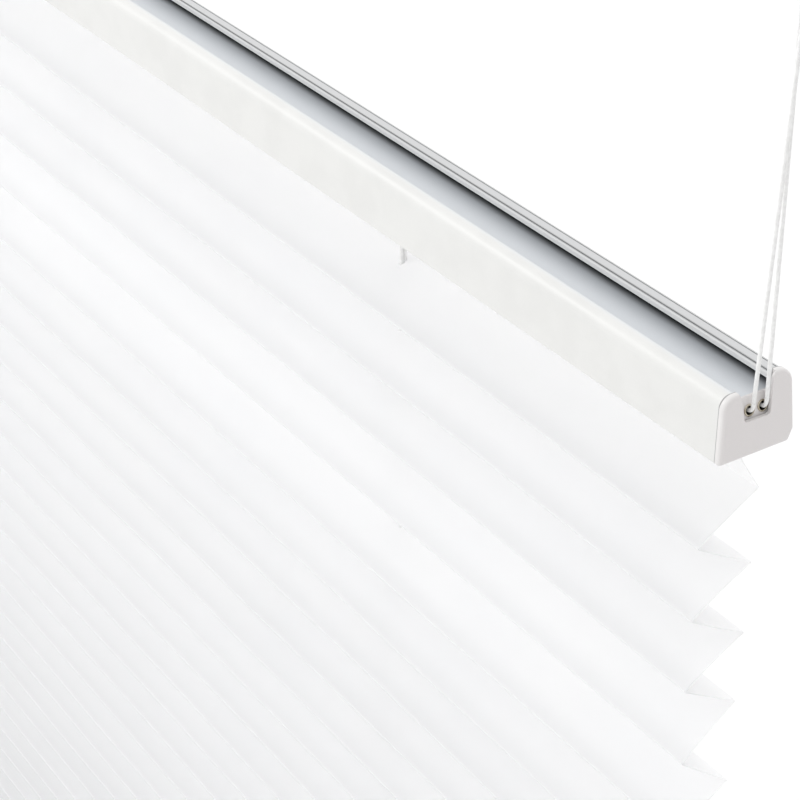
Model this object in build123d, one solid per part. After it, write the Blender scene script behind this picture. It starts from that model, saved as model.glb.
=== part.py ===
from build123d import *
import os
from math import cos, exp, radians, sin, sqrt, tan

# Pleated blind with two movable rails, held on cords between four sash brackets.
# Millimetres. The origin is the centre of the four bracket screw holes, on the face of the sash.
# +X runs along the rails to the right, -Y points into the room, +Z points up.

# ---- fabric
fabric_width = 600.0
fabric_thickness = 0.3
facet = 20.0                # cloth between two neighbouring creases
pleat_count = 36            # front creases
first_pitch = 20.58         # height of the top pleat, opened by the weight below it
pitch_step = 0.306          # each pleat down hangs this much tighter
pitch_curve = 0.0016        # and tighter still towards the bottom
wide_pleat = 3.28           # one pleat near the top is pulled open
wide_extra = 5.96
wide_spread = 0.78
hang_back = 1.4             # the pleats' middle hangs this far behind the slot
hole_line = 160.0           # cord holes, from the middle of the blind
hole_back = 6.3             # and behind the slot, in the rear third of the pleats
hole_size = (1.8, 2.9)

# ---- rails: one extrusion, used open side up at the top and turned over at the bottom
rail_length = 617.4         # over the end caps
rail_depth = 21.35
rail_height = 19.9          # to where the top and back faces would meet
front_height = 17.0         # the front wall is lower
wall = 1.3
flange = 1.4                # lips over the channel
cap_flange = 2.0
channel_floor = 13.6        # floor of the open channel, from the fabric side
front_lip = 3.9             # channel opening, from the front face
back_lip = 13.2
back_lip_top = 18.9
lean_start = 3.2            # the back wall leans forward above this
back_top = 19.1
back_chamfer = 1.35
front_round = 2.8
back_round = 4.5
slot_half = 1.5             # slot that the cloth comes out of
slot_lip = 1.2
pocket_half = 3.5           # pocket that holds the fabric strip
pocket_roof = 3.6
sash_gap = 4.85             # rail to sash

# ---- cord and its guides
cord_radius = 0.5
cord_level = 11.1           # eyelets in an end cap, from the fabric side
strand_half = 1.9           # half the distance between the two strands at an end cap
fabric_half = 0.55          # and where they pass through the cloth
knot_half = 0.6             # and in the tension shoe, where they have turned to lie along X
eyelet_shift = -0.1         # the eyelets' middle, from the middle of the rail
guide_half_length = 10.0
guide_bore = 0.8
guide_bend = 4.0

# ---- brackets and tension shoes
screw_spacing_z = 880.0
screw_radius = 1.8
screw_height = 22.0         # screw hole above the shoe's cord hole
bracket_width = 14.0
bracket_plate = 2.4
arm_low = 6.2               # underside of the arm, above the shoe's cord hole
shoe_out = 0.6              # shoes stand this far outside the rail's end
top_gap = 89.7              # top rail to the shoes above it

rail_centre = -(sash_gap + rail_depth / 2)
half_depth = rail_depth / 2
rail_end = rail_length / 2
profile_end = rail_end - cap_flange
shoe_x = rail_end + shoe_out
shoe_z = screw_spacing_z / 2 - screw_height
top_rail_z = shoe_z - top_gap - rail_height
cloth_top = 1.4             # the cloth ends this far inside the top slot
cloth_bottom = 1.0

parts = {}


def pleat_pitches():
    """Height of each pleat from the top down."""
    pitches = []
    for k in range(pleat_count):
        bump = wide_extra * exp(-(((k - wide_pleat) / wide_spread) ** 2))
        pitches.append(first_pitch - pitch_step * k - pitch_curve * k**2 + bump)
    return pitches


def crease_line():
    """The cloth's section as (y from the rail centre, z, pitch there), from the top slot down."""
    pitches = pleat_pitches()
    depths = [sqrt(facet**2 - (p / 2) ** 2) for p in pitches]
    z = top_rail_z - sqrt(facet**2 - (hang_back + depths[0] / 2) ** 2)
    line = [(0.0, top_rail_z + cloth_top, facet), (0.0, top_rail_z, facet)]
    line.append((hang_back + depths[0] / 2, z, pitches[0]))
    for k, pitch in enumerate(pitches):
        following = depths[min(k + 1, pleat_count - 1)]
        z -= pitch / 2
        line.append((hang_back - depths[k] / 2, z, pitch))
        z -= pitch / 2
        line.append((hang_back + (depths[k] + following) / 4, z, pitch))
    z -= sqrt(facet**2 - (hang_back + depths[-1] / 2) ** 2)
    line.append((0.0, z, facet))
    line.append((0.0, z - cloth_bottom, facet))
    return line


cloth_line = crease_line()
bottom_rail_z = cloth_line[-2][1]


def outline(points):
    """Closed face on the YZ plane from (distance behind the front face, z, corner radius)."""
    corners = [(y - half_depth, z) for y, z, r in points]
    edge = FilletPolyline(*corners, radius=[r for y, z, r in points], close=True)
    return Plane.YZ * make_face(edge)


def block(x0, x1, y0, y1, z0, z1):
    """Box between two corners."""
    return Pos((x0 + x1) / 2, (y0 + y1) / 2, (z0 + z1) / 2) * Box(x1 - x0, y1 - y0, z1 - z0)


def rod(x, y, z0, z1, radius):
    """Upright cylinder."""
    return Pos(x, y, (z0 + z1) / 2) * Cylinder(radius, z1 - z0)


def cord(points, radii, radius=cord_radius):
    """Round cord along straight runs joined by arcs."""
    path = FilletPolyline(*points, radius=radii)
    start = Plane(path @ 0, z_dir=path % 0)
    return sweep(start * Circle(radius), path)


def soft_radius(a, b, c):
    """The largest arc that the two runs beside a corner allow."""
    before = Vector(*b) - Vector(*a)
    after = Vector(*c) - Vector(*b)
    turn = before.get_angle(after)
    return 0.45 * min(before.length, after.length) / tan(radians(turn) / 2)


# ---- rail extrusion, in the rail's own frame: z = 0 is the side that the cloth hangs from
centre = half_depth
outer_back = [
    (back_top, rail_height, back_round),
    (rail_depth, lean_start, 1.0),
    (rail_depth - back_chamfer, 0, 1.0),
]
lean = (rail_depth - back_top) / (rail_height - lean_start)


def inside_back(z, thickness=wall):
    """Inner face of the leaning back wall, from the front face."""
    return rail_depth - lean * (z - lean_start) - thickness


lip_under = back_lip_top - flange
rail_outline = [
    (0, 0, 0.8),
    (0, front_height, front_round),
    (front_lip, front_height, 0.4),
    (front_lip, front_height - flange, 0.3),
    (wall, front_height - flange, 1.0),
    (wall, channel_floor, 0.5),
    (inside_back(channel_floor), channel_floor, 0.5),
    (inside_back(lip_under), lip_under, 2.8),
    (back_lip, lip_under, 0.3),
    (back_lip, back_lip_top, 0.4),
    *outer_back,
    (centre + slot_half, 0, 0.2),
    (centre + slot_half, slot_lip, 0),
    (centre + pocket_half, slot_lip, 0),
    (centre + pocket_half, pocket_roof, 0),
    (centre - pocket_half, pocket_roof, 0),
    (centre - pocket_half, slot_lip, 0),
    (centre - slot_half, slot_lip, 0),
    (centre - slot_half, 0, 0.2),
]
hollow_top = channel_floor - 1.2
pocket_wall = pocket_half + 1.2
hollow_step = pocket_roof + 1.2
hollow_outline = [
    (wall, wall, 0.5),
    (wall, hollow_top, 0.5),
    (inside_back(hollow_top), hollow_top, 0.5),
    (inside_back(lean_start), lean_start + 0.2, 0.8),
    (rail_depth - back_chamfer - 1.0, wall, 0.4),
    (centre + pocket_wall, wall, 0.3),
    (centre + pocket_wall, hollow_step, 0.3),
    (centre - pocket_wall, hollow_step, 0.3),
    (centre - pocket_wall, wall, 0.3),
]
plate_shift = -0.4          # the eyelet plate's middle, from the middle of the rail
plate_width = 8.3
plate_height = 5.6
plate_thickness = 0.8
plate_rise = 0.5            # the plate's middle above its eyelets
plate_seat = 1.6            # the rail's floor is cut back this far for the plate
grooves = ((13.9, 18.72), (16.6, 18.68))    # from the front face, and the groove's bottom
groove_half = 0.15
exit_radius = 1.45          # hole that the two strands leave the rail by
plug_length = 14.0          # the cap's plugs reach this far into the rail
plug_front = 1.5 - half_depth
plug_back = 7.8


def make_profile():
    """Channel on one side, slot for the cloth on the other, closed hollow for the cords between."""
    length = 2 * profile_end
    bar = extrude(outline(rail_outline), length / 2, both=True)
    bar -= extrude(outline(hollow_outline), length / 2, both=True)
    for groove, low in grooves:
        y = groove - half_depth
        bar -= block(-profile_end, profile_end, y - groove_half, y + groove_half, low, rail_height)
    clear = plate_width / 2 + 0.3
    for side in (-1, 1):
        bar -= rod(side * hole_line, hole_back, -0.1, wall + 0.1, exit_radius)
        near, far = sorted((side * (profile_end - plate_seat), side * profile_end))
        bar -= block(near, far, plate_shift - clear, plate_shift + clear, hollow_top, channel_floor)
    return bar


def make_cap():
    """Right end cap: a flange the shape of the rail, a notch for the cords, and plugs behind."""
    flange_outline = [
        (0, 0, 0.8),
        (0, front_height, front_round + 0.4),
        (6.0, front_height, 1.5),
        (9.5, back_lip_top + 0.4, 1.5),
        *outer_back,
    ]
    flange_face = outline(flange_outline)
    cap = Pos(profile_end, 0, 0) * extrude(flange_face, cap_flange)
    rim = cap.edges().filter_by(lambda e: e.center().X > rail_end - 0.01)
    cap = fillet(rim, 1.2)
    notch = [
        (6.2, 9.5, 0.8),
        (13.5, 9.4, 0.8),
        (13.5, 19.2, 1.4),
        (16.5, 20.3, 0),
        (16.5, 24, 0),
        (2.7, 24, 0),
    ]
    cap -= Pos(profile_end - 1, 0, 0) * extrude(outline(notch), cap_flange + 2)
    sill = cord_level - 2.4
    clear = plate_width / 2 + 0.15
    cap -= block(
        profile_end - 1, profile_end + 1.2, plate_shift - clear, plate_shift + clear, sill, rail_height
    )
    inner = profile_end - plug_length
    cap += block(inner, profile_end, plug_front, plug_front + 4.0, 1.6, hollow_top - 0.3)
    cap += block(inner, profile_end, plug_back - 2.9, plug_back, 2.6, hollow_top - 0.3)
    cap += block(inner, profile_end, plug_front, plug_back, hollow_step + 0.2, sill - 0.3)
    return cap


plate_tilt = 13.0
plate_centre = (rail_end - 1.7, eyelet_shift, cord_level)


def eyelet_frame(y=0.0):
    """Frame on the eyelet plate's outer face: Z points out of the rail and a little up."""
    lean = Location(plate_centre, (0, 90 - plate_tilt, 0))
    return lean * Pos(0, y, 0)


def make_plate():
    """Sheet-metal plate with two holes."""
    blank = Pos(-plate_rise, 0, -plate_thickness / 2) * Box(plate_height, plate_width, plate_thickness)
    plate = eyelet_frame(plate_shift - eyelet_shift) * blank
    for y in (-strand_half, strand_half):
        plate -= eyelet_frame(y) * Cylinder(1.15, 4)
    return plate


def make_eyelets():
    """Two tubular rivets, flared on the outside."""
    pair = []
    for y in (-strand_half, strand_half):
        ring = Pos(0, 0, 0.2) * Cylinder(1.5, 0.4)
        ring = fillet(ring.edges().group_by(Axis.Z)[-1], 0.18)
        ring += Pos(0, 0, -0.65) * Cylinder(1.1, 1.3)
        ring -= Cylinder(0.9, 6)
        pair.append(eyelet_frame(y) * ring)
    return Compound(pair)


def rail_cord_points(side):
    """One strand on the right of the top rail, from its eyelet to the slot. side is -1 or 1."""
    y = eyelet_shift + side * strand_half
    mouth = Vector(plate_centre[0], y, plate_centre[2])
    out = Vector(cos(radians(plate_tilt)), 0, sin(radians(plate_tilt)))
    corner = mouth + out * 1.25
    inside = mouth - out * 5.0
    level = cord_level - 1.2
    across = hole_back + side * fabric_half
    return [
        (corner.X, corner.Y, corner.Z + 2.2),
        (corner.X, corner.Y, corner.Z),
        (inside.X, inside.Y, inside.Z),
        (hole_line, across, level),
        (hole_line, across, 0),
    ]


def make_rail_cords():
    """Both strands inside the right half of a rail."""
    strands = []
    for side in (-1, 1):
        strands.append(cord(rail_cord_points(side), [1.25, 14, guide_bend]))
    return Compound(strands)


def make_guide():
    """Block that turns the two strands from along the rail to down through the cloth."""
    x0 = hole_line - guide_half_length
    x1 = hole_line + guide_half_length
    body = block(x0, x1, -9.0, 8.0, hollow_step + 0.1, hollow_top - 0.1)
    corners = body.edges().filter_by(Axis.X)
    body = fillet(corners, 0.6)
    for side in (-1, 1):
        points = rail_cord_points(side)[2:]
        body -= cord(points, [guide_bend], guide_bore)
    return body


def make_strip():
    """Plastic strip that the cloth's edge is bonded to, in the rail's pocket."""
    half = fabric_width / 2 - 1
    return block(-half, half, -pocket_half + 0.2, pocket_half - 0.2, 1.4, 3.4)


def place_rail_piece(name, shape, at_top):
    """Puts a piece from the rail's frame into the top rail, or turned over into the bottom rail."""
    if at_top:
        parts[name] = Pos(0, rail_centre, top_rail_z) * shape
    else:
        parts[name] = Pos(0, rail_centre, bottom_rail_z) * mirror(shape, about=Plane.XY)


profile = make_profile()
below_floor = block(-rail_end, rail_end, -rail_depth, rail_depth, -1, channel_floor)
front_half = block(-rail_end, rail_end, -rail_depth, 0, channel_floor, rail_height)
back_half = block(-rail_end, rail_end, 0, rail_depth, channel_floor, rail_height)
full_rail_pieces = {
    "rail_profile": profile & below_floor,
    "rail_front_lip": profile & front_half,
    "rail_back_lip": profile & back_half,
    "fabric_strip": make_strip(),
}
right_pieces = {
    "cap": make_cap(),
    "eyelet_plate": make_plate(),
    "eyelets": make_eyelets(),
    "cord_guide": make_guide(),
    "cords": make_rail_cords(),
}
for level, at_top in (("top", True), ("bottom", False)):
    for piece, shape in full_rail_pieces.items():
        place_rail_piece(f"{level}_{piece}", shape, at_top)
    for piece, shape in right_pieces.items():
        place_rail_piece(f"{level}_rail_right_{piece}", shape, at_top)
        left = mirror(shape, about=Plane.YZ)
        place_rail_piece(f"{level}_rail_left_{piece}", left, at_top)


# ---- pleated cloth
def make_fabric():
    """Zigzag sheet of constant thickness, punched for the cords."""
    front, back = [], []
    for y, z, pitch in cloth_line:
        if pitch == facet:
            reach = fabric_thickness / 2
        else:
            reach = fabric_thickness / 2 * facet / (pitch / 2)
        front.append((y - reach, z))
        back.append((y + reach, z))
    section = Plane.YZ * make_face(Polyline(*front, *reversed(back), close=True))
    cloth = extrude(section, fabric_width / 2, both=True)
    width, length = hole_size
    z0 = bottom_rail_z - 5
    z1 = top_rail_z + 5
    for side in (-1, 1):
        x = side * hole_line
        y0 = hole_back - length / 2
        cloth -= block(x - width / 2, x + width / 2, y0, y0 + length, z0, z1)
    return Pos(0, rail_centre, 0) * cloth


parts["pleated_fabric"] = make_fabric()
right_strands = []
for side in (-1, 1):
    y = rail_centre + hole_back + side * fabric_half
    right_strands.append(rod(hole_line, y, bottom_rail_z, top_rail_z, cord_radius))
right_fabric_cords = Compound(right_strands)
parts["right_fabric_cords"] = right_fabric_cords
parts["left_fabric_cords"] = mirror(right_fabric_cords, about=Plane.YZ)


# ---- brackets and tension shoes, in a frame whose origin is the mouth of the shoe's cord hole
plate_top = 30.0
plate_low = -4.0
arm_top = arm_low + bracket_plate
arm_front = -7.5
neck_radius = 3.3
bore_radius = 1.3
bore_length = 3.0
sash = -rail_centre
knot_radius = 1.9


def make_bracket():
    """Angle bracket: a plate with a countersunk screw hole, an arm and two ribs."""
    half = bracket_width / 2
    plate = block(-half, half, sash - bracket_plate, sash, plate_low, plate_top)
    plate = fillet(plate.edges().filter_by(Axis.Y), 2.0)
    arm = block(-half, half, arm_front, sash - bracket_plate, arm_low, arm_top)
    front_corners = arm.edges().filter_by(Axis.Z).sort_by(Axis.Y)[:2]
    arm = fillet(front_corners, 2.5)
    bracket = plate + arm
    inner = sash - bracket_plate
    rib = make_face(Polyline((inner, arm_top), (inner, arm_top + 9), (inner - 10, arm_top), close=True))
    for x in (-half, half - 1.5):
        bracket += Pos(x, 0, 0) * extrude(Plane.YZ * rib, 1.5)
    bracket -= rod(0, 0, arm_low - 1, arm_top + 1, neck_radius + 0.1)
    hole = Location((0, sash, screw_height), (90, 0, 0))
    bracket -= hole * Cylinder(screw_radius, 20)
    sink = Location((0, sash - bracket_plate + 0.7, screw_height), (90, 0, 0))
    bracket -= sink * Cone(screw_radius, screw_radius + 1.4, 1.4)
    return bracket


def make_shoe(neck_top, cavity_radius):
    """Block under the arm, with a neck that snaps through it and a cavity for the knot."""
    shoe = block(-5, 5, -6.5, 6.5, 0, arm_low)
    shoe = fillet(shoe.edges().filter_by(Axis.Z), 2.0)
    shoe += rod(0, 0, arm_low, neck_top, neck_radius)
    shoe += rod(0, 0, arm_top + 0.1, arm_top + 0.9, neck_radius + 0.9)
    shoe -= rod(0, 0, -1, bore_length + 1, bore_radius)
    shoe -= rod(0, 0, bore_length, neck_top + 1, cavity_radius)
    mouth = shoe.edges().filter_by(GeomType.CIRCLE).group_by(Axis.Z)[0]
    return fillet(mouth, 0.4)


def make_knot(z):
    """Outer form of the knot that ties the two strands."""
    knot = rod(0, 0, z, z + 3.0, knot_radius)
    return fillet(knot.edges().filter_by(GeomType.CIRCLE), 1.1)


def make_spring(z0, z1, radius, wire, turns):
    """Open coil spring round the strands."""
    coil = Helix((z1 - z0 - 2 * wire) / turns, z1 - z0 - 2 * wire, radius)
    section = Plane(coil @ 0, z_dir=coil % 0) * Circle(wire)
    return Pos(0, 0, z0 + wire) * sweep(section, coil, is_frenet=True)


def place_fitting(name, shape, right, top):
    """Puts a bracket piece at one of the four corners."""
    if not top:
        shape = mirror(shape, about=Plane.XY)
    x = shoe_x if right else -shoe_x
    z = shoe_z if top else -shoe_z
    parts[name] = Pos(x, rail_centre, z) * shape


spring_top = 12.1
washer_top = spring_top + 0.7
bracket = make_bracket()
top_shoe = make_shoe(arm_top + 1.1, 2.3)
bottom_shoe = make_shoe(washer_top + 3.8, 2.6)
top_knot = make_knot(bore_length + 0.05)
bottom_knot = make_knot(washer_top + 0.05)
spring = make_spring(bore_length + 0.05, spring_top, 2.1, 0.3, 5)
washer = rod(0, 0, spring_top + 0.1, washer_top, 2.4) - rod(0, 0, spring_top, washer_top + 1, bore_radius)
for across in ("left", "right"):
    is_right = across == "right"
    place_fitting(f"top_{across}_bracket", bracket, is_right, True)
    place_fitting(f"top_{across}_shoe", top_shoe, is_right, True)
    place_fitting(f"top_{across}_knot", top_knot, is_right, True)
    place_fitting(f"bottom_{across}_bracket", bracket, is_right, False)
    place_fitting(f"bottom_{across}_shoe", bottom_shoe, is_right, False)
    place_fitting(f"bottom_{across}_knot", bottom_knot, is_right, False)
    place_fitting(f"bottom_{across}_spring", spring, is_right, False)
    place_fitting(f"bottom_{across}_washer", washer, is_right, False)


# ---- strands between the rails and the shoes
def outer_strands(at_top):
    """Two straight strands from a right-hand end cap to the shoe, where they come together."""
    strands = []
    for side in (-1, 1):
        x, y, z = rail_cord_points(side)[0]
        if at_top:
            start = (x, rail_centre + y, top_rail_z + z)
            mouth = (shoe_x - side * knot_half, rail_centre, shoe_z)
            end = (mouth[0], mouth[1], shoe_z + bore_length + 0.05)
        else:
            start = (x, rail_centre + y, bottom_rail_z - z)
            mouth = (shoe_x - side * knot_half, rail_centre, -shoe_z)
            end = (mouth[0], mouth[1], -shoe_z - washer_top - 0.05)
        strands.append(cord([start, mouth, end], [soft_radius(start, mouth, end)]))
    return Compound(strands)


for level, at_top in (("upper", True), ("lower", False)):
    strands = outer_strands(at_top)
    parts[f"right_{level}_cords"] = strands
    parts[f"left_{level}_cords"] = mirror(strands, about=Plane.YZ)

os.makedirs("parts", exist_ok=True)
for name, shape in parts.items():
    export_step(shape, f"parts/{name}.step")
print(len(parts), "nodes; top rail z", round(top_rail_z, 2), "bottom rail z", round(bottom_rail_z, 2))
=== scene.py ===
import bpy
from math import cos, exp, pi, radians, sin, sqrt, tan
from mathutils import Matrix, Vector
from random import Random


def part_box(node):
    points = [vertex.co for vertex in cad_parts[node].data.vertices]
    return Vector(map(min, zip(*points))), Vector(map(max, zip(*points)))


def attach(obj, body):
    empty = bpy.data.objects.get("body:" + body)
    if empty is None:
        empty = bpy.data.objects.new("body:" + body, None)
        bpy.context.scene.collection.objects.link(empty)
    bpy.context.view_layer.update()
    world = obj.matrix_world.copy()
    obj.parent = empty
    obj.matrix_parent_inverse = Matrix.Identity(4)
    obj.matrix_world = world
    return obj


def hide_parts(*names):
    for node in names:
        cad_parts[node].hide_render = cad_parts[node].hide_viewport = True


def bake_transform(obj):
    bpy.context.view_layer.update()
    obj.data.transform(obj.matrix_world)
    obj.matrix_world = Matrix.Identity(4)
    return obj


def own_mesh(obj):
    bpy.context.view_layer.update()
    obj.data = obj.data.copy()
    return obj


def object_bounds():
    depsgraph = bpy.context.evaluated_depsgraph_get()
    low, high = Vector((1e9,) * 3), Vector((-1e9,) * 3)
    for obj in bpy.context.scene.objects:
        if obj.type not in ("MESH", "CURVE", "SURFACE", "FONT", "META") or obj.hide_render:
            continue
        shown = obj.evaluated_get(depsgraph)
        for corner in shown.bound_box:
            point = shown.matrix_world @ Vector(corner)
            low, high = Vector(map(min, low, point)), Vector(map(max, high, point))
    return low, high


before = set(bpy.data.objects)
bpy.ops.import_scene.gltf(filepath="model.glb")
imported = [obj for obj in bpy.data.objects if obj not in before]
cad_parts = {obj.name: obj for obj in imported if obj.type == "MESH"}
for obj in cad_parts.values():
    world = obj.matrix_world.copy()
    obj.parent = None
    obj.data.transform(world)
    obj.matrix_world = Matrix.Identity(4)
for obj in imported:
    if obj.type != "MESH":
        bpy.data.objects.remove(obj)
cad_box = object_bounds()

# ---- floor, light and camera
# A pale studio floor under the hanging blind, a near-white surround that is dimmer on the right,
# one large soft lamp to the front left, and a camera that looks down on the top rail's right end.
floor_half = 6.0
floor_z = cad_box[0].z - 0.002
floor_mesh = bpy.data.meshes.new("studio_floor")
floor_mesh.from_pydata(
    [(-floor_half, -floor_half, floor_z), (floor_half, -floor_half, floor_z),
     (floor_half, floor_half, floor_z), (-floor_half, floor_half, floor_z)],
    [], [(0, 1, 2, 3)])
floor = bpy.data.objects.new("studio_floor", floor_mesh)
bpy.context.scene.collection.objects.link(floor)


def plain_material(name, colour, roughness):
    """A new material with its shader's colour and roughness set. Returns material, nodes, links, shader."""
    material = bpy.data.materials.new(name)
    material.use_nodes = True
    tree = material.node_tree
    shader = tree.nodes["Principled BSDF"]
    shader.inputs["Base Color"].default_value = (*colour, 1)
    shader.inputs["Roughness"].default_value = roughness
    return material, tree.nodes, tree.links, shader


floor_mesh.materials.append(plain_material("pale_floor", (0.93, 0.93, 0.93), 0.7)[0])

world = bpy.data.worlds.new("studio")
bpy.context.scene.world = world
world.use_nodes = True
surround = world.node_tree.nodes["Background"]
surround.inputs["Color"].default_value = (1.0, 1.0, 1.0, 1)
direction = world.node_tree.nodes.new("ShaderNodeSeparateXYZ")
toward = world.node_tree.nodes.new("ShaderNodeTexCoord")
world.node_tree.links.new(toward.outputs["Generated"], direction.inputs[0])
dimmer = world.node_tree.nodes.new("ShaderNodeMapRange")
dimmer.interpolation_type = "SMOOTHSTEP"
dimmer.inputs["From Min"].default_value = 0.1
dimmer.inputs["From Max"].default_value = 0.8
dimmer.inputs["To Min"].default_value = 1.17
dimmer.inputs["To Max"].default_value = 0.74
world.node_tree.links.new(direction.outputs["X"], dimmer.inputs["Value"])
world.node_tree.links.new(dimmer.outputs["Result"], surround.inputs["Strength"])

lamp_place = Vector((-0.97, -0.95, 1.17))
lamp_target = Vector((0.31, -0.015, 0.32))
lamp_data = bpy.data.lights.new("front_lamp", "AREA")
lamp_data.size = 0.7
lamp_data.energy = 5.5
lamp = bpy.data.objects.new("front_lamp", lamp_data)
lamp.location = lamp_place
lamp.rotation_euler = (lamp_place - lamp_target).to_track_quat("Z", "Y").to_euler()
bpy.context.scene.collection.objects.link(lamp)

camera_place = Vector((0.6112, -0.3109, 0.5732))
azimuth = radians(56.32)
elevation = radians(31.15)
roll = radians(0.13)
back = Vector((sin(azimuth) * cos(elevation), -cos(azimuth) * cos(elevation), sin(elevation)))
level_right = (-back).cross(Vector((0, 0, 1))).normalized()
level_up = level_right.cross(-back)
right = level_right * cos(roll) + level_up * sin(roll)
up = level_up * cos(roll) - level_right * sin(roll)
camera_data = bpy.data.cameras.new("camera")
camera_data.lens = 101.42
camera_data.sensor_width = 36
camera_data.clip_start = 0.01
camera = bpy.data.objects.new("camera", camera_data)
bpy.context.scene.collection.objects.link(camera)
axes = Matrix((right, up, back)).transposed().to_4x4()
camera.matrix_world = Matrix.Translation(camera_place) @ axes
bpy.context.scene.camera = camera
bpy.context.scene.view_settings.view_transform = "Standard"

# ---- rails
# Two extruded aluminium rails with a satin white powder coat, slid over the cloth's edge strips
# and closed by the end caps. The coat carries painted shade: a bluish grey in the channel between
# the lips, near-black in the recess under the back lip, and darker over the back lip and its grooves.
rail_middle = -0.015525
rail_front = -0.0262
top_rail_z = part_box("top_rail_profile")[0].z
bottom_rail_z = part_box("bottom_rail_profile")[1].z
# Heights over the rail's underside, and depths behind its front face. The first of a pair is where
# a tone starts, and the second is where it is whole, apart from a groove's two sides.
channel_floor = 0.0136
lip_underside = 0.0176
lip_top = 0.0185
front_wall = (0.0020, 0.0045)
back_wall = (0.0202, 0.0198)
recess_depth = (0.0148, 0.0182)
rear_shade_from = (0.0126, 0.0136)
groove_depths = ((0.01370, 0.01410), (0.01640, 0.01680))
groove_edge = 0.0003


def math_node(nodes, links, operation, first, second=None):
    """A Math node on sockets or numbers. Returns its output."""
    node = nodes.new("ShaderNodeMath")
    node.operation = operation
    for socket, value in zip(node.inputs, (first, second)):
        if isinstance(value, (int, float)):
            socket.default_value = value
        elif value is not None:
            links.new(value, socket)
    return node.outputs[0]


def multiply_all(nodes, links, masks):
    """The product of several masks."""
    product = masks[0]
    for mask in masks[1:]:
        product = math_node(nodes, links, "MULTIPLY", product, mask)
    return product


def place_axes(nodes, links):
    """The X, Y and Z of a surface point in the row's frame, in metres."""
    split = nodes.new("ShaderNodeSeparateXYZ")
    links.new(nodes.new("ShaderNodeTexCoord").outputs["Object"], split.inputs[0])
    return split.outputs["X"], split.outputs["Y"], split.outputs["Z"]


def step_node(nodes, links, value, low, high):
    """Smooth step from 0 at low to 1 at high. low may be the larger."""
    node = nodes.new("ShaderNodeMapRange")
    node.interpolation_type = "SMOOTHSTEP"
    links.new(value, node.inputs["Value"])
    if low > high:
        low, high = high, low
        node.inputs["To Min"].default_value, node.inputs["To Max"].default_value = 1.0, 0.0
    node.inputs["From Min"].default_value = low
    node.inputs["From Max"].default_value = high
    return node.outputs["Result"]


def mix_colours(nodes, links, share, first, second):
    """Mixes two colours, each a socket or a tuple."""
    node = nodes.new("ShaderNodeMix")
    node.data_type = "RGBA"
    links.new(share, node.inputs["Factor"])
    for name, value in (("A", first), ("B", second)):
        socket = [s for s in node.inputs if s.name == name and s.type == "RGBA"][0]
        if isinstance(value, tuple):
            socket.default_value = (*value, 1)
        else:
            links.new(value, socket)
    return [s for s in node.outputs if s.type == "RGBA"][0]


def noise_node(nodes, links, scale, detail, stretch=None):
    """Noise over the row frame's coordinates, in metres, drawn out along an axis by stretch."""
    place = nodes.new("ShaderNodeTexCoord").outputs["Object"]
    if stretch:
        mapping = nodes.new("ShaderNodeMapping")
        mapping.inputs["Scale"].default_value = stretch
        links.new(place, mapping.inputs["Vector"])
        place = mapping.outputs["Vector"]
    noise = nodes.new("ShaderNodeTexNoise")
    noise.inputs["Scale"].default_value = scale
    noise.inputs["Detail"].default_value = detail
    links.new(place, noise.inputs["Vector"])
    return noise.outputs["Fac"]


def add_bump(nodes, links, shader, height, distance, strength=1.0):
    """Raises the shader's surface by height times distance, in metres."""
    bump = nodes.new("ShaderNodeBump")
    bump.inputs["Distance"].default_value = distance
    bump.inputs["Strength"].default_value = strength
    links.new(height, bump.inputs["Height"])
    links.new(bump.outputs["Normal"], shader.inputs["Normal"])


def speckled_material(name, dark, light, rough, scale, bump_scale, bump_height):
    """Two close tones in soft patches, roughness that follows them, and a fine bump."""
    material, nodes, links, shader = plain_material(name, light, rough[1])
    patches = noise_node(nodes, links, scale, 4.0)
    contrast = step_node(nodes, links, patches, 0.35, 0.65)
    links.new(mix_colours(nodes, links, contrast, dark, light), shader.inputs["Base Color"])
    spread = nodes.new("ShaderNodeMapRange")
    links.new(patches, spread.inputs["Value"])
    spread.inputs["From Min"].default_value = 0.3
    spread.inputs["From Max"].default_value = 0.7
    spread.inputs["To Min"].default_value = rough[0]
    spread.inputs["To Max"].default_value = rough[1]
    links.new(spread.outputs["Result"], shader.inputs["Roughness"])
    add_bump(nodes, links, shader, noise_node(nodes, links, bump_scale, 2.0), bump_height)
    return material, nodes, links, shader


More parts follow.
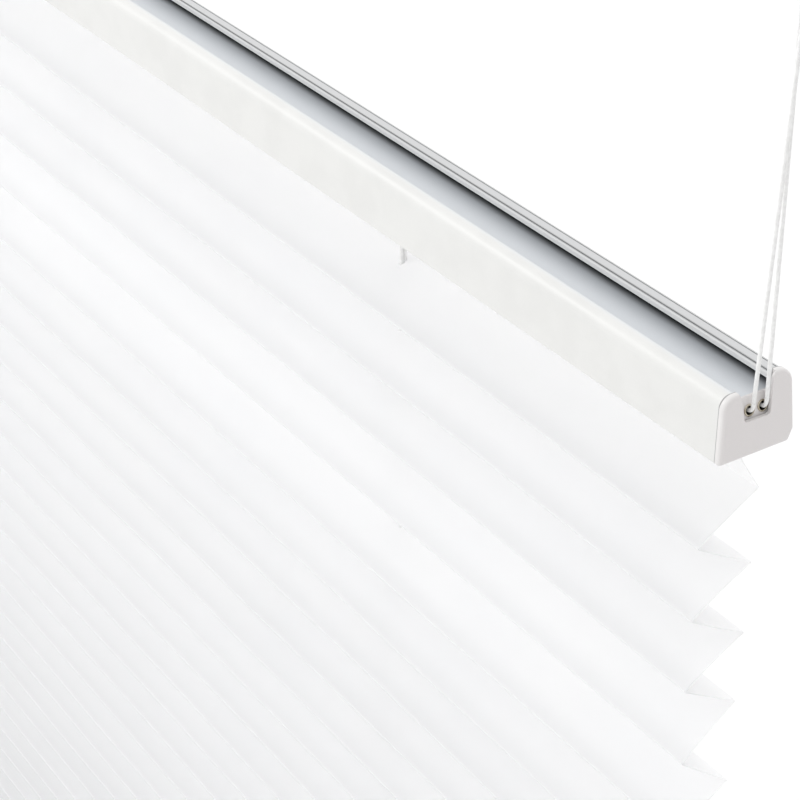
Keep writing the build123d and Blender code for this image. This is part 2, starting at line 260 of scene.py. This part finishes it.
def rail_material(name, at_top):
    """Powder coat with painted shade placed by the rail's section: in the channel, in the recess under the
    back lip, in the grooves and over the back lip.
    """
    material, nodes, links, shader = speckled_material(
        name, (0.720, 0.720, 0.704), (0.745, 0.745, 0.729), (0.34, 0.42), 90, 1600, 0.00002)
    # painted shade: the rail's back part, from the back lip on, is painted darker
    painted_rear_shade = (0.57, 0.575, 0.58)
    groove_shade = (0.34, 0.345, 0.35)
    # painted shade: the channel between the lips is painted a bluish grey
    painted_channel_shade = (0.72, 0.745, 0.775)
    # painted shade: the recess under the back lip is painted near-black
    painted_recess_shade = (0.035, 0.036, 0.038)
    coat = shader.inputs["Base Color"].links[0].from_socket
    y, z = place_axes(nodes, links)[1:]
    depth = math_node(nodes, links, "SUBTRACT", y, rail_front)
    if at_top:
        rise = math_node(nodes, links, "SUBTRACT", z, top_rail_z)
    else:
        rise = math_node(nodes, links, "SUBTRACT", bottom_rail_z, z)
    in_channel = multiply_all(nodes, links, [
        step_node(nodes, links, rise, channel_floor - 0.0003, channel_floor),
        step_node(nodes, links, rise, lip_underside + 0.0004, lip_underside),
        step_node(nodes, links, depth, *front_wall),
        step_node(nodes, links, depth, *back_wall)])
    recess = math_node(nodes, links, "MULTIPLY", step_node(nodes, links, depth, *recess_depth), in_channel)
    coat = mix_colours(nodes, links, step_node(nodes, links, depth, *rear_shade_from), coat, painted_rear_shade)
    for low, high in groove_depths:
        groove = multiply_all(nodes, links, [
            step_node(nodes, links, depth, low - groove_edge, low),
            step_node(nodes, links, depth, high + groove_edge, high),
            step_node(nodes, links, rise, lip_top - 0.0002, lip_top)])
        coat = mix_colours(nodes, links, groove, coat, groove_shade)
    greyed = mix_colours(nodes, links, in_channel, coat, painted_channel_shade)
    links.new(mix_colours(nodes, links, recess, greyed, painted_recess_shade), shader.inputs["Base Color"])
    return material


def dress(node, material):
    """Gives a CAD node its material."""
    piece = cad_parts[node]
    piece.data.materials.clear()
    piece.data.materials.append(material)


def dress_all(endings, material):
    """Dresses every CAD node whose name ends in one of endings."""
    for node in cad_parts:
        if node.endswith(endings):
            dress(node, material)


for level, at_top in (("top", True), ("bottom", False)):
    coat = rail_material(level + "_rail_coat", at_top)
    for piece in ("profile", "front_lip", "back_lip"):
        dress(f"{level}_rail_{piece}", coat)

# ---- end caps
# Injection-moulded white plastic caps pressed into the rail ends, with soft outer edges and a
# notch over the cord eyelets. The plastic is a touch pinker than the rail's coat, and the joint
# with the rail shows as a thin grey line. The end face is painted darker, as painted shade.
profile_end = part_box("top_rail_profile")[1].x
# Distances past the rail's end, for the seam and for the end face's painted shade.
seam_reach = (0.00032, 0.00012)
end_face_from = (0.0012, 0.0019)
seam_shade = (0.40, 0.40, 0.40)
# painted shade: the end face is painted darker than the cap's rim
painted_end_face_shade = (0.715, 0.688, 0.684)
cap_material, nodes, links, shader = speckled_material(
    "cap_plastic", (0.745, 0.728, 0.722), (0.770, 0.754, 0.748), (0.36, 0.46), 140, 2200, 0.000015)
plastic = shader.inputs["Base Color"].links[0].from_socket
from_middle = math_node(nodes, links, "ABSOLUTE", place_axes(nodes, links)[0])
past_rail = math_node(nodes, links, "SUBTRACT", from_middle, profile_end)
seam = step_node(nodes, links, past_rail, *seam_reach)
end_face = step_node(nodes, links, past_rail, *end_face_from)
plastic = mix_colours(nodes, links, end_face, plastic, painted_end_face_shade)
links.new(mix_colours(nodes, links, seam, plastic, seam_shade), shader.inputs["Base Color"])
dress_all("_cap", cap_material)

# ---- eyelet plates and eyelets
# A small white-lacquered steel plate stands in each notch, leaning outwards, with two nickelled
# tubular eyelets riveted through it, flared and painted near-black inside as painted shade, that keep the
# cords from chafing.
eyelet_rise = 0.0111
eyelet_x = profile_end + 0.0003
eyelet_y = rail_middle - 0.0001
strand_half = 0.0019
tilt = radians(13)
plate_material = speckled_material(
    "plate_lacquer", (0.745, 0.715, 0.710), (0.775, 0.750, 0.745), (0.35, 0.45), 300, 2600, 0.00001)[0]
eyelet_material, nodes, links, shader = speckled_material(
    "eyelet_nickel", (0.42, 0.37, 0.28), (0.62, 0.57, 0.47), (0.22, 0.36), 700, 5000, 0.000008)
shader.inputs["Metallic"].default_value = 1.0
# painted shade: the eyelets' bores are painted near-black
bore_shade_material = speckled_material(
    "eyelet_bore_shade", (0.015, 0.013, 0.010), (0.040, 0.034, 0.025), (0.5, 0.7), 900, 5000, 0.000008)[0]
# Radius and height over the plate's outer face, in mm, from the rim's foot over the rim, down the
# bore and back along the outside.
eyelet_section = [(1.42, 0.0), (1.44, 0.12), (1.38, 0.26), (1.24, 0.33), (1.12, 0.30), (1.04, 0.20),
                  (1.00, 0.05), (0.98, -0.5), (0.98, -1.25), (1.10, -1.28), (1.10, -0.82), (1.42, -0.81)]
bore_rows = (5, 6, 7)
eyelet_facets = 40


def make_eyelets(name, across, at_top):
    """Two turned eyelets in one rail end."""
    z0, flip = (top_rail_z, 1) if at_top else (bottom_rail_z, -1)
    out = Vector((across * cos(tilt), 0, flip * sin(tilt)))
    side_way = Vector((0, 1, 0))
    up_way = side_way.cross(out)
    points, skin, is_bore = [], [], []
    around = len(eyelet_section)
    for hand in (-1, 1):
        centre = Vector((across * eyelet_x, eyelet_y + hand * strand_half, z0 + flip * eyelet_rise))
        base = len(points)
        for k in range(eyelet_facets):
            angle = 2 * pi * k / eyelet_facets
            spoke = side_way * cos(angle) + up_way * sin(angle)
            points += [centre + spoke * (r / 1000) + out * (h / 1000) for r, h in eyelet_section]
        for k in range(eyelet_facets):
            a = base + k * around
            b = base + (k + 1) % eyelet_facets * around
            for i in range(around):
                n = (i + 1) % around
                skin.append((a + i, b + i, b + n, a + n))
                is_bore.append(i in bore_rows)
    mesh = bpy.data.meshes.new(name)
    mesh.from_pydata(points, [], skin)
    mesh.shade_smooth()
    mesh.set_sharp_from_angle(angle=radians(60))
    mesh.materials.append(eyelet_material)
    mesh.materials.append(bore_shade_material)
    for face, inside in zip(mesh.polygons, is_bore):
        face.material_index = int(inside)
    pair = bpy.data.objects.new(name, mesh)
    bpy.context.scene.collection.objects.link(pair)
    return pair


for level, at_top in (("top", True), ("bottom", False)):
    for side_name, across in (("left", -1), ("right", 1)):
        end_name = f"{level}_rail_{side_name}"
        dress(end_name + "_eyelet_plate", plate_material)
        dress(end_name + "_eyelets", eyelet_material)
        eyelets = make_eyelets(end_name + "_turned_eyelets", across, at_top)
        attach(eyelets, level + "_rail")
        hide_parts(end_name + "_eyelets")

# ---- cord guides and edge strips
# Plain white moulded parts hidden in the rails: the block that turns the cords down into the
# cloth, and the flat strip that each end of the cloth is bonded to.
guide_material = speckled_material(
    "guide_plastic", (0.76, 0.76, 0.75), (0.79, 0.79, 0.78), (0.45, 0.6), 120, 1500, 0.00002)[0]
dress_all(("_cord_guide", "_strip"), guide_material)

# ---- cloth
# One length of thin translucent polyester, stiffened, pressed into sharp 20 mm pleats and bonded
# to a strip in each rail. It hangs wider open near the top, where it carries the most weight, and
# has an oval hole punched through every pleat face for each pair of cords.
cloth_half_width = 0.300
half_thickness = 0.00012
# Columns of the grid, with a narrow one at each pair of cords that takes the holes.
hole_x = 0.160
patch_half = 0.0021
column_step = 0.0075
column_gap = 0.001
# The section is worked in mm, as (back from the rail's middle, up from the rail's underside).
facet = 20.0
pleat_count = 36
first_pitch = 20.58
pitch_step = 0.306
pitch_curve = 0.0016
wide_extra = 5.96
wide_pleat = 3.28
wide_spread = 0.78
hang_back = 1.4
top_tab = 1.4
bottom_tab = 1.0
hole_back = 6.3
hole_half = (0.7, 1.2)
# A crease's radius and its rows, and how much of a face it may take.
crease_arc = 0.34
crease_steps = 5
widest_cut = 0.62
widest_cut_share = 0.3
# Shares of a face's length that get a row, with room left free round a hole's own two rows.
face_stops = [0.05, 0.12, 0.3, 0.5, 0.62, 0.7, 0.78, 0.88, 0.95]
hole_margin = 0.035
stop_gap = 0.04
# Uneven creases and faces: sizes in mm, and how fast they change along X, in radians a metre.
ripple_sizes = (0.05, 0.20)
ripple_rates = (23, 61, 17, 47)
fine_share = 0.6
bow_sizes = (0.10, 0.42)
bow_rate = 9
bow_swing = 0.5
chance = Random(4)

pitches = []
for k in range(pleat_count):
    pulled_open = wide_extra * exp(-(((k - wide_pleat) / wide_spread) ** 2))
    pitches.append(first_pitch - pitch_step * k - pitch_curve * k**2 + pulled_open)
depths = [sqrt(facet**2 - (pitch / 2) ** 2) for pitch in pitches]
fall = -sqrt(facet**2 - (hang_back + depths[0] / 2) ** 2)
creases = [(0.0, top_tab), (0.0, 0.0), (hang_back + depths[0] / 2, fall)]
for k, pitch in enumerate(pitches):
    fall -= pitch / 2
    creases.append((hang_back - depths[k] / 2, fall))
    fall -= pitch / 2
    following = depths[min(k + 1, pleat_count - 1)]
    creases.append((hang_back + (depths[k] + following) / 4, fall))
fall -= sqrt(facet**2 - (hang_back + depths[-1] / 2) ** 2)
creases += [(0.0, fall), (0.0, fall - bottom_tab)]
creases = [Vector(point) for point in creases]

# Each row is (place in section, normal, crease before it, share of the way to the next crease).
rows = []
hole_rows = []


def add_row(index, place, across, share):
    """Adds a row of the cloth's grid."""
    rows.append((place, across, index, share))


last = len(creases) - 1
cuts = [0.0] * (last + 1)
for c in range(1, last):
    before = (creases[c] - creases[c - 1]).normalized()
    after = (creases[c + 1] - creases[c]).normalized()
    half_turn = before.angle(after) / 2
    shorter = widest_cut_share * (creases[c] - creases[c - 1]).length
    cuts[c] = min(crease_arc * tan(half_turn), widest_cut, shorter)
for c in range(last):
    run = creases[c + 1] - creases[c]
    length = run.length
    along = run / length
    across = Vector((-along.y, along.x))
    if c > 0:
        before = (creases[c] - creases[c - 1]).normalized()
        turn = before.angle_signed(along)
        radius = cuts[c] / tan(abs(turn) / 2)
        start = creases[c] - before * cuts[c]
        side = 1 if turn < 0 else -1
        inward = Vector((-before.y, before.x)) * side
        centre = start + inward * radius
        for step in range(crease_steps + 1):
            angle = -turn * step / crease_steps
            spoke = Matrix.Rotation(angle, 2) @ -inward
            add_row(c, centre + spoke * radius, -spoke * side, 0.0)
    else:
        add_row(0, creases[0], across, 0.0)
    stops = face_stops
    has_holes = c > 0 and abs(run.x) > facet / 4
    if has_holes:
        middle = (hole_back - creases[c].x) / run.x
        half = hole_half[1] / abs(run.x) + hole_margin
        stops = [stop for stop in face_stops if abs(stop - middle) > half + stop_gap]
        stops = sorted(stops + [middle - half, middle + half])
    for stop in stops:
        if cuts[c] < stop * length < length - cuts[c + 1]:
            if has_holes and stop == middle - half:
                hole_rows.append((len(rows), c))
            add_row(c, creases[c] + run * stop, across, stop)
add_row(last - 1, creases[last], rows[-1][1], 1.0)

# Slow waves of each crease along X, none at the two bonded ends, and a bow of each face.
waves = []
for c in range(len(creases)):
    size = 0.0 if c < 2 or c > last - 2 else chance.uniform(*ripple_sizes)
    waves.append([size] + [chance.uniform(0, 2 * pi) for _ in range(4)])
bows = [chance.uniform(*bow_sizes) for _ in creases]


def wave(c, x):
    """Offset (y, z) in mm of crease c at x."""
    size, *phases = waves[c]
    swings = [sin(rate * x + phase) for rate, phase in zip(ripple_rates, phases)]
    return size * (swings[0] + fine_share * swings[1]), size * (swings[2] + fine_share * swings[3])


def cloth_point(row, x, side):
    """Point of the cloth's front (-1) or back (1) face, in metres."""
    place, across, c, share = row
    first, second = wave(c, x), wave(min(c + 1, last), x)
    bow = 0
    if 1 <= c < last - 1:
        bow = -bows[c] * sin(pi * share) * (1 + bow_swing * sin(bow_rate * x + c))
    y = place.x + first[0] * (1 - share) + second[0] * share + across.x * bow
    z = place.y + first[1] * (1 - share) + second[1] * share + across.y * bow
    shift = side * half_thickness
    return (x, rail_middle + y / 1000 + across.x * shift, top_rail_z + z / 1000 + across.y * shift)


column_count = round(2 * cloth_half_width / column_step) + 1
xs = {round(-cloth_half_width + column_step * i, 5) for i in range(column_count)}
for side in (-1, 1):
    middle = side * hole_x
    xs = {x for x in xs if abs(x - middle) > patch_half + column_gap}
    xs |= {middle - patch_half, middle + patch_half}
xs = sorted(xs)
vertices, faces = [], []
for side in (-1, 1):
    for row in rows:
        vertices += [cloth_point(row, x, side) for x in xs]
columns, layer = len(xs), len(xs) * len(rows)
hole_cells = {}
for side in (-1, 1):
    column = xs.index(side * hole_x - patch_half)
    for row, c in hole_rows:
        hole_cells[row, column] = c


def grid_quad(base, j, i):
    """The four corners of the grid's cell after row j and column i."""
    a = base + j * columns + i
    return (a, a + 1, a + columns + 1, a + columns)


def cloth_face(corners, at_back):
    """Adds a face, turned to look out of the front or the back."""
    faces.append(corners if at_back else corners[::-1])


for at_back, base in ((False, 0), (True, layer)):
    for j in range(len(rows) - 1):
        for i in range(columns - 1):
            if (j, i) not in hole_cells:
                cloth_face(grid_quad(base, j, i), at_back)

# Each hole is an oval ring of points in its cell, four to a side, joined from front to back. The
# ring starts toward the cell's first corner.
side_points = 4
ring_points = 4 * side_points
first_corner = 225
across_reach = hole_half[0] / 1000 / (2 * patch_half)
for (j, i), c in hole_cells.items():
    rings = []
    down_reach = hole_half[1] / abs(creases[c + 1].x - creases[c].x) / (rows[j + 1][3] - rows[j][3])
    for at_back, base in ((False, 0), (True, layer)):
        quad = grid_quad(base, j, i)
        corner = [Vector(vertices[q]) for q in quad]
        ring = []
        for n in range(ring_points):
            angle = radians(first_corner + 360 / ring_points * n)
            u = 0.5 + across_reach * cos(angle)
            v = 0.5 + down_reach * sin(angle)
            edge_a = corner[0].lerp(corner[1], u)
            edge_b = corner[3].lerp(corner[2], u)
            ring.append(len(vertices))
            vertices.append(tuple(edge_a.lerp(edge_b, v)))
        for q in range(4):
            near, far = quad[q], quad[(q + 1) % 4]
            p = [ring[(side_points * q + n) % ring_points] for n in range(side_points + 1)]
            for corners in ((near, p[1], p[0]), (near, p[2], p[1]), (near, far, p[2]),
                            (far, p[3], p[2]), (far, p[4], p[3])):
                cloth_face(corners, at_back)
        rings.append(ring)
    for n in range(ring_points):
        m = (n + 1) % ring_points
        faces.append((rings[0][n], rings[0][m], rings[1][m], rings[1][n]))

# The four outer edges close the sheet.
for j in range(len(rows) - 1):
    a = j * columns
    b = a + columns
    faces.append((a, b, b + layer, a + layer))
    faces.append((a + columns - 1, a + columns - 1 + layer, b + columns - 1 + layer, b + columns - 1))
for i in range(columns - 1):
    a = (len(rows) - 1) * columns + i
    faces.append((i, i + layer, i + 1 + layer, i + 1))
    faces.append((a, a + 1, a + 1 + layer, a + layer))
cloth_mesh = bpy.data.meshes.new("pleated_cloth")
cloth_mesh.from_pydata(vertices, [], faces)

# Nearness to the front crease, 0 at a face's back crease and 1 at its front one.
nearness = []
for row in rows:
    c, share = row[2:]
    is_pleat = 2 <= c < last - 1
    from_back = share if c % 2 == 0 else 1 - share
    nearness += [from_back if is_pleat else 0.0] * columns
nearness *= 2
nearness += [0.0] * (len(vertices) - len(nearness))
front_crease = cloth_mesh.attributes.new("front_crease", "FLOAT", "POINT")
front_crease.data.foreach_set("value", nearness)
cloth_mesh.shade_smooth()
cloth_mesh.set_sharp_from_angle(angle=radians(50))
cloth = bpy.data.objects.new("pleated_cloth", cloth_mesh)
bpy.context.scene.collection.objects.link(cloth)

cloth_material, nodes, links, shader = plain_material("pleated_polyester", (0.95, 0.95, 0.955), 0.75)
# painted light and shade: each pleat face is painted lighter toward its back crease as painted light, and
# darker just above its front crease as painted shade
painted_valley_light = (0.984, 0.984, 0.986)
painted_fold_shade = (0.920, 0.921, 0.925)
cloudy = noise_node(nodes, links, 45, 4.0, (0.5, 1.0, 1.0))
tone = mix_colours(nodes, links, step_node(nodes, links, cloudy, 0.3, 0.7),
                   (0.950, 0.951, 0.955), (0.958, 0.958, 0.960))
crease = nodes.new("ShaderNodeAttribute")
crease.attribute_name = "front_crease"
valley = step_node(nodes, links, crease.outputs["Fac"], 0.55, 0.0)
tone = mix_colours(nodes, links, valley, tone, painted_valley_light)
fold = step_node(nodes, links, crease.outputs["Fac"], 0.62, 0.95)
tone = mix_colours(nodes, links, fold, tone, painted_fold_shade)
links.new(tone, shader.inputs["Base Color"])
place = nodes.new("ShaderNodeTexCoord").outputs["Object"]
threads = []
for thread_way in ("X", "Z"):
    thread = nodes.new("ShaderNodeTexWave")
    thread.bands_direction = thread_way
    thread.inputs["Scale"].default_value = 700.0
    thread.inputs["Distortion"].default_value = 1.5
    links.new(place, thread.inputs["Vector"])
    threads.append(thread.outputs["Fac"])
weave = math_node(nodes, links, "ADD", threads[0], threads[1])
add_bump(nodes, links, shader, weave, 0.00001, 0.6)
glow = nodes.new("ShaderNodeBsdfTranslucent")
links.new(tone, glow.inputs["Color"])
blend = nodes.new("ShaderNodeMixShader")
blend.inputs["Fac"].default_value = 0.55
links.new(shader.outputs[0], blend.inputs[1])
links.new(glow.outputs[0], blend.inputs[2])
links.new(blend.outputs[0], nodes["Material Output"].inputs["Surface"])
cloth_mesh.materials.append(cloth_material)
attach(cloth, "top_rail")
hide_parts("pleated_fabric")
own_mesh(cloth)

# ---- cords
# Fine white plaited polyester cord, 1 mm thick, threaded tight from shoe to shoe: down to the
# eyelets at a rail's end, along inside the rail, down through the cloth's holes, along inside the
# bottom rail and down to the lower shoe. Each stretch is a piece of its own, where the part moves.
cord_radius = 0.0005
# Half the distance between a pair's strands, in the cloth and at a shoe's mouth.
pair_half = 0.00055
shoe_half = 0.0006
shoe_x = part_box("top_rail_right_cap")[1].x + 0.0006
shoe_z = 0.418
# A strand turns upwards just outside its eyelet and turns down over the slot.
bend_out = 0.00125
strand_rise = 0.0022
bore_run = 0.005
slot_rise = eyelet_rise - 0.0012
hole_y = rail_middle + hole_back / 1000
# Runs from the shoes' mouths to the knots, and the share of a lower strand that is its upper part.
top_shoe_run = 0.00305
bottom_shoe_run = 0.01285
split_share = 0.15
# Distances between the rings of the tubes.
free_step = 0.00035
rail_step = 0.0005
cloth_step = 0.0006
cord_material = speckled_material(
    "plaited_cord", (0.820, 0.820, 0.812), (0.895, 0.895, 0.890), (0.65, 0.8), 900, 5200, 0.00003)[0]


def smooth_path(points, step):
    """Places about step apart on the NURBS curve that has points as its control points."""
    places_a_span = 400
    curve = bpy.data.curves.new("strand_route", "CURVE")
    curve.dimensions = "3D"
    spline = curve.splines.new("NURBS")
    spline.points.add(len(points) - 1)
    for control, point in zip(spline.points, points):
        control.co = (*point, 1)
    spline.order_u = 3
    spline.use_endpoint_u = True
    spline.resolution_u = places_a_span
    route = bpy.data.objects.new("strand_route", curve)
    mesh = bpy.data.meshes.new_from_object(route)
    read = [vertex.co.copy() for vertex in mesh.vertices]
    bpy.data.meshes.remove(mesh)
    bpy.data.objects.remove(route)
    bpy.data.curves.remove(curve)
    gone = [0.0]
    for a, b in zip(read, read[1:]):
        gone.append(gone[-1] + (b - a).length)
    count = max(2, round(gone[-1] / step))
    path, i = [], 0
    for n in range(count + 1):
        wanted = gone[-1] * n / count
        while i < len(read) - 2 and gone[i + 1] < wanted:
            i += 1
        path.append(read[i].lerp(read[i + 1], (wanted - gone[i]) / (gone[i + 1] - gone[i])))
    return path


def beside(corner, far, near):
    """A control point before corner on the run from far, as far from it as near is on the next run."""
    return corner + (far - corner).normalized() * (near - corner).length


def plaited_tube(name, path, sides=12):
    """A mesh tube along path with the low relief of a plait and closed ends."""
    relief_depth = 0.05
    strands_crossing = 3
    twist_rate = 0.7
    points, skin = [], []
    frame_x = (path[1] - path[0]).orthogonal().normalized()
    run = 0.0
    for i, p in enumerate(path):
        along = (path[min(i + 1, len(path) - 1)] - path[max(i - 1, 0)]).normalized()
        frame_x = (frame_x - along * frame_x.dot(along)).normalized()
        frame_y = along.cross(frame_x)
        if i:
            run += (p - path[i - 1]).length
        twist = run / cord_radius * twist_rate
        for k in range(sides):
            angle = 2 * pi * k / sides
            turned = strands_crossing * angle
            relief = 1 - relief_depth + relief_depth * cos(turned + twist) * cos(turned - twist)
            points.append(p + (frame_x * cos(angle) + frame_y * sin(angle)) * cord_radius * relief)
    for i in range(len(path) - 1):
        for k in range(sides):
            m = (k + 1) % sides
            skin.append((i * sides + k, i * sides + m, (i + 1) * sides + m, (i + 1) * sides + k))
    skin.append(tuple(range(sides))[::-1])
    skin.append(tuple((len(path) - 1) * sides + k for k in range(sides)))
    mesh = bpy.data.meshes.new(name)
    mesh.from_pydata(points, [], skin)
    mesh.shade_smooth()
    mesh.materials.append(cord_material)
    tube = bpy.data.objects.new(name, mesh)
    bpy.context.scene.collection.objects.link(tube)
    return tube


def rail_route(across, hand, at_top):
    """Route of one strand in a rail, from above its eyelet to the slot."""
    z0, flip = (top_rail_z, 1) if at_top else (bottom_rail_z, -1)
    out = Vector((cos(tilt), 0, sin(tilt)))
    eyelet = Vector((eyelet_x, eyelet_y + hand * strand_half, eyelet_rise))
    bend = eyelet + out * bend_out
    above = bend + Vector((0, 0, strand_rise))
    inside = eyelet - out * bore_run
    in_bore = beside(bend, inside, above)
    slot_bottom = Vector((hole_x, hole_y + hand * pair_half, 0))
    over_slot = slot_bottom + Vector((0, 0, slot_rise))
    points = [above, bend, in_bore, inside, beside(inside, over_slot, in_bore),
              beside(over_slot, inside, slot_bottom), over_slot, slot_bottom]
    return [Vector((across * p.x, p.y, z0 + flip * p.z)) for p in points]


def shoe_route(across, hand, at_top):
    """Where a free strand enters its shoe, and where it ends at the knot."""
    flip, run = (1, top_shoe_run) if at_top else (-1, bottom_shoe_run)
    mouth = Vector((across * (shoe_x - hand * shoe_half), rail_middle, flip * shoe_z))
    return mouth, mouth + Vector((0, 0, flip * run))


def lay_rail_strand(level, side_name, hand_name, route):
    """One strand from above its eyelet, through the rail, to the slot over the cloth."""
    strand = plaited_tube(f"{level}_rail_{side_name}_{hand_name}_strand", smooth_path(route, rail_step))
    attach(strand, level + "_rail")
    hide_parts(f"{level}_rail_{side_name}_cords")


def lay_upper_strand(side_name, hand_name, start, mouth, knot):
    """The free strand from the top rail's eyelet up to the knot in the upper shoe."""
    path = smooth_path([start, beside(mouth, start, knot), mouth, knot], free_step)
    strand = plaited_tube(f"{side_name}_{hand_name}_upper_strand", path)
    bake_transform(strand)
    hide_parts(side_name + "_upper_cords")


def lay_lower_strand(side_name, hand_name, start, mouth, knot):
    """The free strand under the bottom rail, made as two pieces: its lower part down to the knot,
    and its short upper part next to the rail."""
    split = start.lerp(mouth, split_share)
    lower_path = smooth_path([split, beside(mouth, split, knot), mouth, knot], free_step)
    lower = plaited_tube(f"{side_name}_{hand_name}_lower_strand_a", lower_path)
    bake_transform(lower)
    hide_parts(side_name + "_lower_cords")
    upper = plaited_tube(f"{side_name}_{hand_name}_lower_strand_b", smooth_path([start, split], free_step))
    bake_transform(upper)
    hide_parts(side_name + "_lower_cords")


def lay_cloth_strand(side_name, hand_name, across, hand):
    """The strand from slot to slot through the cloth's holes."""
    route = [Vector((across * hole_x, hole_y + hand * pair_half, z)) for z in (top_rail_z, bottom_rail_z)]
    strand = plaited_tube(f"{side_name}_{hand_name}_cloth_strand", smooth_path(route, cloth_step), sides=10)
    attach(strand, "top_rail")
    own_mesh(strand)
    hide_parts(side_name + "_fabric_cords")


for side_name, across in (("left", -1), ("right", 1)):
    for hand_name, hand in (("front", -1), ("back", 1)):
        route = rail_route(across, hand, True)
        lay_rail_strand("top", side_name, hand_name, route)
        lay_upper_strand(side_name, hand_name, route[0], *shoe_route(across, hand, True))
        route = rail_route(across, hand, False)
        lay_rail_strand("bottom", side_name, hand_name, route)
        lay_lower_strand(side_name, hand_name, route[0], *shoe_route(across, hand, False))
        lay_cloth_strand(side_name, hand_name, across, hand)

# ---- knots
# The two strands of a pair end in one small overhand knot, pulled tight against the shoe's cup at
# the top and against the spring's washer at the bottom.
knot_steps = 120


def tie_knot(node):
    """A three-lobed loop of cord that fills the knot's CAD box."""
    low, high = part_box(node)
    centre = (low + high) / 2
    half = (high - low) / 2 - Vector((cord_radius, cord_radius, cord_radius))
    loop = []
    for n in range(knot_steps + 1):
        t = 2 * pi * n / knot_steps
        lobe = Vector(((sin(t) + 2 * sin(2 * t)) / 3, (cos(t) - 2 * cos(2 * t)) / 3, -sin(3 * t)))
        loop.append(centre + lobe * half)
    knot = plaited_tube(node + "_tied", loop)
    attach(knot, "root")
    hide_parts(node)


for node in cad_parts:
    if node.endswith("_knot"):
        tie_knot(node)

# ---- brackets and tension shoes
# Smooth white moulded angle brackets, screwed to the sash at each corner, and the small shoes
# that snap through their arms and hold the ends of the cords.
bracket_material = speckled_material(
    "bracket_plastic", (0.79, 0.79, 0.78), (0.82, 0.82, 0.81), (0.35, 0.45), 110, 1800, 0.000015)[0]
dress_all(("_bracket", "_shoe"), bracket_material)

# ---- springs and washers
# Bright zinc-plated spring wire and a stamped washer in each lower shoe. The spring is pressed
# between the shoe's cup and the washer over the knot, and keeps the cords tight.
spring_material, nodes, links, shader = speckled_material(
    "bright_zinc", (0.52, 0.52, 0.53), (0.66, 0.66, 0.67), (0.25, 0.4), 500, 4000, 0.00001)
shader.inputs["Metallic"].default_value = 1.0
dress_all(("_spring", "_washer"), spring_material)
